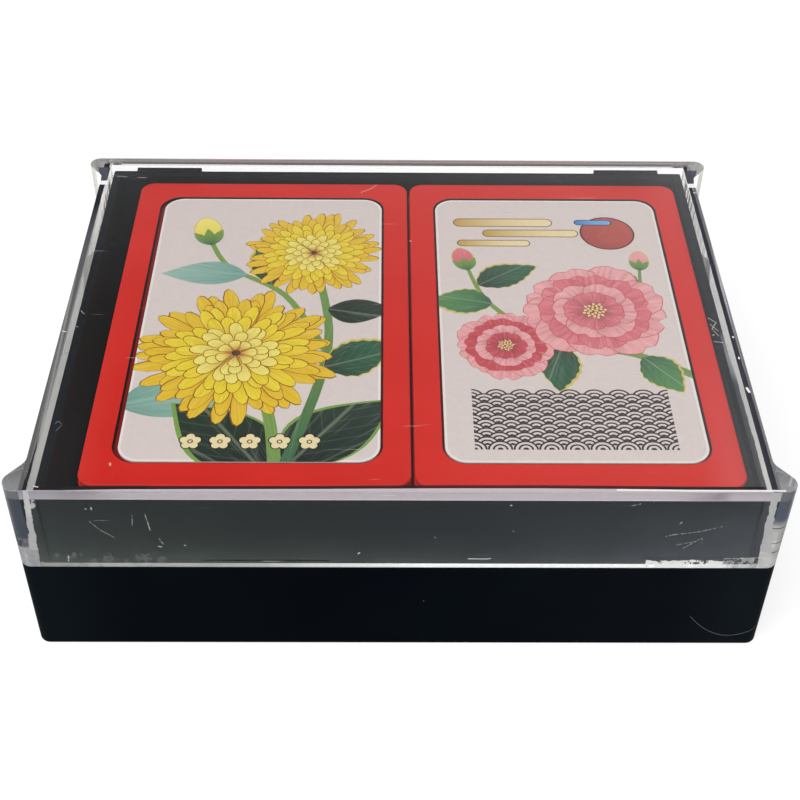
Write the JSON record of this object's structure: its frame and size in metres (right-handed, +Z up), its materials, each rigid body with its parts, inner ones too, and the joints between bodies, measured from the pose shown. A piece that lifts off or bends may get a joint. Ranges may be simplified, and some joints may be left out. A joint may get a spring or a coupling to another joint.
{
  "type": "flower card deck in a case",
  "caption": "Flower playing cards in two decks side by side in a black plastic tray, under a clear slip-on cover with flared corners; the cover and every card lift out.",
  "frame": {"origin": "middle of the case's outline, on the surface that it stands on", "axes": "+X to the right along the case's long side, +Y to the back, +Z up through the decks"},
  "size_m": [0.0814, 0.061, 0.025],
  "materials": {
    "base_plastic": "glossy black moulding",
    "clear_plastic": "clear, polished, lightly scratched",
    "card_plastic": "satin red",
    "picture_print": "satin print on pale ground"
  },
  "bodies": {
    "base": {"case_base": "base_plastic"},
    "cover": {"clear_cover": "clear_plastic"},
    "left_title": {"left_title_card": "card_plastic", "left_title_picture": "picture_print"},
    "right_title": {"right_title_card": "card_plastic", "right_title_picture": "picture_print"},
    "peony_1": {"peony_card_1": "card_plastic"},
    "peony_2": {"peony_card_2": "card_plastic"},
    "peony_3": {"peony_card_3": "card_plastic"},
    "peony_4": {"peony_card_4": "card_plastic"},
    "iris_1": {"iris_card_1": "card_plastic"},
    "iris_2": {"iris_card_2": "card_plastic"},
    "iris_3": {"iris_card_3": "card_plastic"},
    "iris_4": {"iris_card_4": "card_plastic"},
    "wisteria_1": {"wisteria_card_1": "card_plastic"},
    "wisteria_2": {"wisteria_card_2": "card_plastic"},
    "wisteria_3": {"wisteria_card_3": "card_plastic"},
    "wisteria_4": {"wisteria_card_4": "card_plastic"},
    "cherry_1": {"cherry_card_1": "card_plastic"},
    "cherry_2": {"cherry_card_2": "card_plastic"},
    "cherry_3": {"cherry_card_3": "card_plastic"},
    "cherry_4": {"cherry_card_4": "card_plastic"},
    "plum_1": {"plum_card_1": "card_plastic"},
    "plum_2": {"plum_card_2": "card_plastic"},
    "plum_3": {"plum_card_3": "card_plastic"},
    "plum_4": {"plum_card_4": "card_plastic"},
    "pine_1": {"pine_card_1": "card_plastic"},
    "pine_2": {"pine_card_2": "card_plastic"},
    "pine_3": {"pine_card_3": "card_plastic"},
    "pine_4": {"pine_card_4": "card_plastic"},
    "paulownia_1": {"paulownia_card_1": "card_plastic"},
    "paulownia_2": {"paulownia_card_2": "card_plastic"},
    "paulownia_3": {"paulownia_card_3": "card_plastic"},
    "paulownia_4": {"paulownia_card_4": "card_plastic"},
    "willow_1": {"willow_card_1": "card_plastic"},
    "willow_2": {"willow_card_2": "card_plastic"},
    "willow_3": {"willow_card_3": "card_plastic"},
    "willow_4": {"willow_card_4": "card_plastic"},
    "maple_1": {"maple_card_1": "card_plastic"},
    "maple_2": {"maple_card_2": "card_plastic"},
    "maple_3": {"maple_card_3": "card_plastic"},
    "maple_4": {"maple_card_4": "card_plastic"},
    "chrysanthemum_1": {"chrysanthemum_card_1": "card_plastic"},
    "chrysanthemum_2": {"chrysanthemum_card_2": "card_plastic"},
    "chrysanthemum_3": {"chrysanthemum_card_3": "card_plastic"},
    "chrysanthemum_4": {"chrysanthemum_card_4": "card_plastic"},
    "pampas_1": {"pampas_card_1": "card_plastic"},
    "pampas_2": {"pampas_card_2": "card_plastic"},
    "pampas_3": {"pampas_card_3": "card_plastic"},
    "pampas_4": {"pampas_card_4": "card_plastic"},
    "clover_1": {"clover_card_1": "card_plastic"},
    "clover_2": {"clover_card_2": "card_plastic"},
    "clover_3": {"clover_card_3": "card_plastic"},
    "clover_4": {"clover_card_4": "card_plastic"}
  },
  "joints": [
    {"name": "cover_lift", "type": "slide", "parent": "base", "child": "cover", "axis": [0, 0, 1], "range_m": [0, 0.12]},
    {"name": "left_title_lift", "type": "slide", "parent": "base", "child": "left_title", "axis": [0, 0, 1], "range_m": [0, 0.0826]},
    {"name": "right_title_lift", "type": "slide", "parent": "base", "child": "right_title", "axis": [0, 0, 1], "range_m": [0, 0.0826]},
    {"name": "peony_1_lift", "type": "slide", "parent": "base", "child": "peony_1", "axis": [0, 0, 1], "range_m": [0, 0.025]},
    {"name": "peony_2_lift", "type": "slide", "parent": "base", "child": "peony_2", "axis": [0, 0, 1], "range_m": [0, 0.0274]},
    {"name": "peony_3_lift", "type": "slide", "parent": "base", "child": "peony_3", "axis": [0, 0, 1], "range_m": [0, 0.0298]},
    {"name": "peony_4_lift", "type": "slide", "parent": "base", "child": "peony_4", "axis": [0, 0, 1], "range_m": [0, 0.0322]},
    {"name": "iris_1_lift", "type": "slide", "parent": "base", "child": "iris_1", "axis": [0, 0, 1], "range_m": [0, 0.0346]},
    {"name": "iris_2_lift", "type": "slide", "parent": "base", "child": "iris_2", "axis": [0, 0, 1], "range_m": [0, 0.037]},
    {"name": "iris_3_lift", "type": "slide", "parent": "base", "child": "iris_3", "axis": [0, 0, 1], "range_m": [0, 0.0394]},
    {"name": "iris_4_lift", "type": "slide", "parent": "base", "child": "iris_4", "axis": [0, 0, 1], "range_m": [0, 0.0418]},
    {"name": "wisteria_1_lift", "type": "slide", "parent": "base", "child": "wisteria_1", "axis": [0, 0, 1], "range_m": [0, 0.0442]},
    {"name": "wisteria_2_lift", "type": "slide", "parent": "base", "child": "wisteria_2", "axis": [0, 0, 1], "range_m": [0, 0.0466]},
    {"name": "wisteria_3_lift", "type": "slide", "parent": "base", "child": "wisteria_3", "axis": [0, 0, 1], "range_m": [0, 0.049]},
    {"name": "wisteria_4_lift", "type": "slide", "parent": "base", "child": "wisteria_4", "axis": [0, 0, 1], "range_m": [0, 0.0514]},
    {"name": "cherry_1_lift", "type": "slide", "parent": "base", "child": "cherry_1", "axis": [0, 0, 1], "range_m": [0, 0.0538]},
    {"name": "cherry_2_lift", "type": "slide", "parent": "base", "child": "cherry_2", "axis": [0, 0, 1], "range_m": [0, 0.0562]},
    {"name": "cherry_3_lift", "type": "slide", "parent": "base", "child": "cherry_3", "axis": [0, 0, 1], "range_m": [0, 0.0586]},
    {"name": "cherry_4_lift", "type": "slide", "parent": "base", "child": "cherry_4", "axis": [0, 0, 1], "range_m": [0, 0.061]},
    {"name": "plum_1_lift", "type": "slide", "parent": "base", "child": "plum_1", "axis": [0, 0, 1], "range_m": [0, 0.0634]},
    {"name": "plum_2_lift", "type": "slide", "parent": "base", "child": "plum_2", "axis": [0, 0, 1], "range_m": [0, 0.0658]},
    {"name": "plum_3_lift", "type": "slide", "parent": "base", "child": "plum_3", "axis": [0, 0, 1], "range_m": [0, 0.0682]},
    {"name": "plum_4_lift", "type": "slide", "parent": "base", "child": "plum_4", "axis": [0, 0, 1], "range_m": [0, 0.0706]},
    {"name": "pine_1_lift", "type": "slide", "parent": "base", "child": "pine_1", "axis": [0, 0, 1], "range_m": [0, 0.073]},
    {"name": "pine_2_lift", "type": "slide", "parent": "base", "child": "pine_2", "axis": [0, 0, 1], "range_m": [0, 0.0754]},
    {"name": "pine_3_lift", "type": "slide", "parent": "base", "child": "pine_3", "axis": [0, 0, 1], "range_m": [0, 0.0778]},
    {"name": "pine_4_lift", "type": "slide", "parent": "base", "child": "pine_4", "axis": [0, 0, 1], "range_m": [0, 0.0802]},
    {"name": "paulownia_1_lift", "type": "slide", "parent": "base", "child": "paulownia_1", "axis": [0, 0, 1], "range_m": [0, 0.025]},
    {"name": "paulownia_2_lift", "type": "slide", "parent": "base", "child": "paulownia_2", "axis": [0, 0, 1], "range_m": [0, 0.0274]},
    {"name": "paulownia_3_lift", "type": "slide", "parent": "base", "child": "paulownia_3", "axis": [0, 0, 1], "range_m": [0, 0.0298]},
    {"name": "paulownia_4_lift", "type": "slide", "parent": "base", "child": "paulownia_4", "axis": [0, 0, 1], "range_m": [0, 0.0322]},
    {"name": "willow_1_lift", "type": "slide", "parent": "base", "child": "willow_1", "axis": [0, 0, 1], "range_m": [0, 0.0346]},
    {"name": "willow_2_lift", "type": "slide", "parent": "base", "child": "willow_2", "axis": [0, 0, 1], "range_m": [0, 0.037]},
    {"name": "willow_3_lift", "type": "slide", "parent": "base", "child": "willow_3", "axis": [0, 0, 1], "range_m": [0, 0.0394]},
    {"name": "willow_4_lift", "type": "slide", "parent": "base", "child": "willow_4", "axis": [0, 0, 1], "range_m": [0, 0.0418]},
    {"name": "maple_1_lift", "type": "slide", "parent": "base", "child": "maple_1", "axis": [0, 0, 1], "range_m": [0, 0.0442]},
    {"name": "maple_2_lift", "type": "slide", "parent": "base", "child": "maple_2", "axis": [0, 0, 1], "range_m": [0, 0.0466]},
    {"name": "maple_3_lift", "type": "slide", "parent": "base", "child": "maple_3", "axis": [0, 0, 1], "range_m": [0, 0.049]},
    {"name": "maple_4_lift", "type": "slide", "parent": "base", "child": "maple_4", "axis": [0, 0, 1], "range_m": [0, 0.0514]},
    {"name": "chrysanthemum_1_lift", "type": "slide", "parent": "base", "child": "chrysanthemum_1", "axis": [0, 0, 1], "range_m": [0, 0.0538]},
    {"name": "chrysanthemum_2_lift", "type": "slide", "parent": "base", "child": "chrysanthemum_2", "axis": [0, 0, 1], "range_m": [0, 0.0562]},
    {"name": "chrysanthemum_3_lift", "type": "slide", "parent": "base", "child": "chrysanthemum_3", "axis": [0, 0, 1], "range_m": [0, 0.0586]},
    {"name": "chrysanthemum_4_lift", "type": "slide", "parent": "base", "child": "chrysanthemum_4", "axis": [0, 0, 1], "range_m": [0, 0.061]},
    {"name": "pampas_1_lift", "type": "slide", "parent": "base", "child": "pampas_1", "axis": [0, 0, 1], "range_m": [0, 0.0634]},
    {"name": "pampas_2_lift", "type": "slide", "parent": "base", "child": "pampas_2", "axis": [0, 0, 1], "range_m": [0, 0.0658]},
    {"name": "pampas_3_lift", "type": "slide", "parent": "base", "child": "pampas_3", "axis": [0, 0, 1], "range_m": [0, 0.0682]},
    {"name": "pampas_4_lift", "type": "slide", "parent": "base", "child": "pampas_4", "axis": [0, 0, 1], "range_m": [0, 0.0706]},
    {"name": "clover_1_lift", "type": "slide", "parent": "base", "child": "clover_1", "axis": [0, 0, 1], "range_m": [0, 0.073]},
    {"name": "clover_2_lift", "type": "slide", "parent": "base", "child": "clover_2", "axis": [0, 0, 1], "range_m": [0, 0.0754]},
    {"name": "clover_3_lift", "type": "slide", "parent": "base", "child": "clover_3", "axis": [0, 0, 1], "range_m": [0, 0.0778]},
    {"name": "clover_4_lift", "type": "slide", "parent": "base", "child": "clover_4", "axis": [0, 0, 1], "range_m": [0, 0.0802]}
  ],
  "couplings": [
    {"joint": "left_title_lift", "follows": "cover_lift", "ratio": 0.6883},
    {"joint": "right_title_lift", "follows": "cover_lift", "ratio": 0.6883},
    {"joint": "peony_1_lift", "follows": "cover_lift", "ratio": 0.2083},
    {"joint": "peony_2_lift", "follows": "cover_lift", "ratio": 0.2283},
    {"joint": "peony_3_lift", "follows": "cover_lift", "ratio": 0.2483},
    {"joint": "peony_4_lift", "follows": "cover_lift", "ratio": 0.2683},
    {"joint": "iris_1_lift", "follows": "cover_lift", "ratio": 0.2883},
    {"joint": "iris_2_lift", "follows": "cover_lift", "ratio": 0.3083},
    {"joint": "iris_3_lift", "follows": "cover_lift", "ratio": 0.3283},
    {"joint": "iris_4_lift", "follows": "cover_lift", "ratio": 0.3483},
    {"joint": "wisteria_1_lift", "follows": "cover_lift", "ratio": 0.3683},
    {"joint": "wisteria_2_lift", "follows": "cover_lift", "ratio": 0.3883},
    {"joint": "wisteria_3_lift", "follows": "cover_lift", "ratio": 0.4083},
    {"joint": "wisteria_4_lift", "follows": "cover_lift", "ratio": 0.4283},
    {"joint": "cherry_1_lift", "follows": "cover_lift", "ratio": 0.4483},
    {"joint": "cherry_2_lift", "follows": "cover_lift", "ratio": 0.4683},
    {"joint": "cherry_3_lift", "follows": "cover_lift", "ratio": 0.4883},
    {"joint": "cherry_4_lift", "follows": "cover_lift", "ratio": 0.5083},
    {"joint": "plum_1_lift", "follows": "cover_lift", "ratio": 0.5283},
    {"joint": "plum_2_lift", "follows": "cover_lift", "ratio": 0.5483},
    {"joint": "plum_3_lift", "follows": "cover_lift", "ratio": 0.5683},
    {"joint": "plum_4_lift", "follows": "cover_lift", "ratio": 0.5883},
    {"joint": "pine_1_lift", "follows": "cover_lift", "ratio": 0.6083},
    {"joint": "pine_2_lift", "follows": "cover_lift", "ratio": 0.6283},
    {"joint": "pine_3_lift", "follows": "cover_lift", "ratio": 0.6483},
    {"joint": "pine_4_lift", "follows": "cover_lift", "ratio": 0.6683},
    {"joint": "paulownia_1_lift", "follows": "cover_lift", "ratio": 0.2083},
    {"joint": "paulownia_2_lift", "follows": "cover_lift", "ratio": 0.2283},
    {"joint": "paulownia_3_lift", "follows": "cover_lift", "ratio": 0.2483},
    {"joint": "paulownia_4_lift", "follows": "cover_lift", "ratio": 0.2683},
    {"joint": "willow_1_lift", "follows": "cover_lift", "ratio": 0.2883},
    {"joint": "willow_2_lift", "follows": "cover_lift", "ratio": 0.3083},
    {"joint": "willow_3_lift", "follows": "cover_lift", "ratio": 0.3283},
    {"joint": "willow_4_lift", "follows": "cover_lift", "ratio": 0.3483},
    {"joint": "maple_1_lift", "follows": "cover_lift", "ratio": 0.3683},
    {"joint": "maple_2_lift", "follows": "cover_lift", "ratio": 0.3883},
    {"joint": "maple_3_lift", "follows": "cover_lift", "ratio": 0.4083},
    {"joint": "maple_4_lift", "follows": "cover_lift", "ratio": 0.4283},
    {"joint": "chrysanthemum_1_lift", "follows": "cover_lift", "ratio": 0.4483},
    {"joint": "chrysanthemum_2_lift", "follows": "cover_lift", "ratio": 0.4683},
    {"joint": "chrysanthemum_3_lift", "follows": "cover_lift", "ratio": 0.4883},
    {"joint": "chrysanthemum_4_lift", "follows": "cover_lift", "ratio": 0.5083},
    {"joint": "pampas_1_lift", "follows": "cover_lift", "ratio": 0.5283},
    {"joint": "pampas_2_lift", "follows": "cover_lift", "ratio": 0.5483},
    {"joint": "pampas_3_lift", "follows": "cover_lift", "ratio": 0.5683},
    {"joint": "pampas_4_lift", "follows": "cover_lift", "ratio": 0.5883},
    {"joint": "clover_1_lift", "follows": "cover_lift", "ratio": 0.6083},
    {"joint": "clover_2_lift", "follows": "cover_lift", "ratio": 0.6283},
    {"joint": "clover_3_lift", "follows": "cover_lift", "ratio": 0.6483},
    {"joint": "clover_4_lift", "follows": "cover_lift", "ratio": 0.6683}
  ]
}
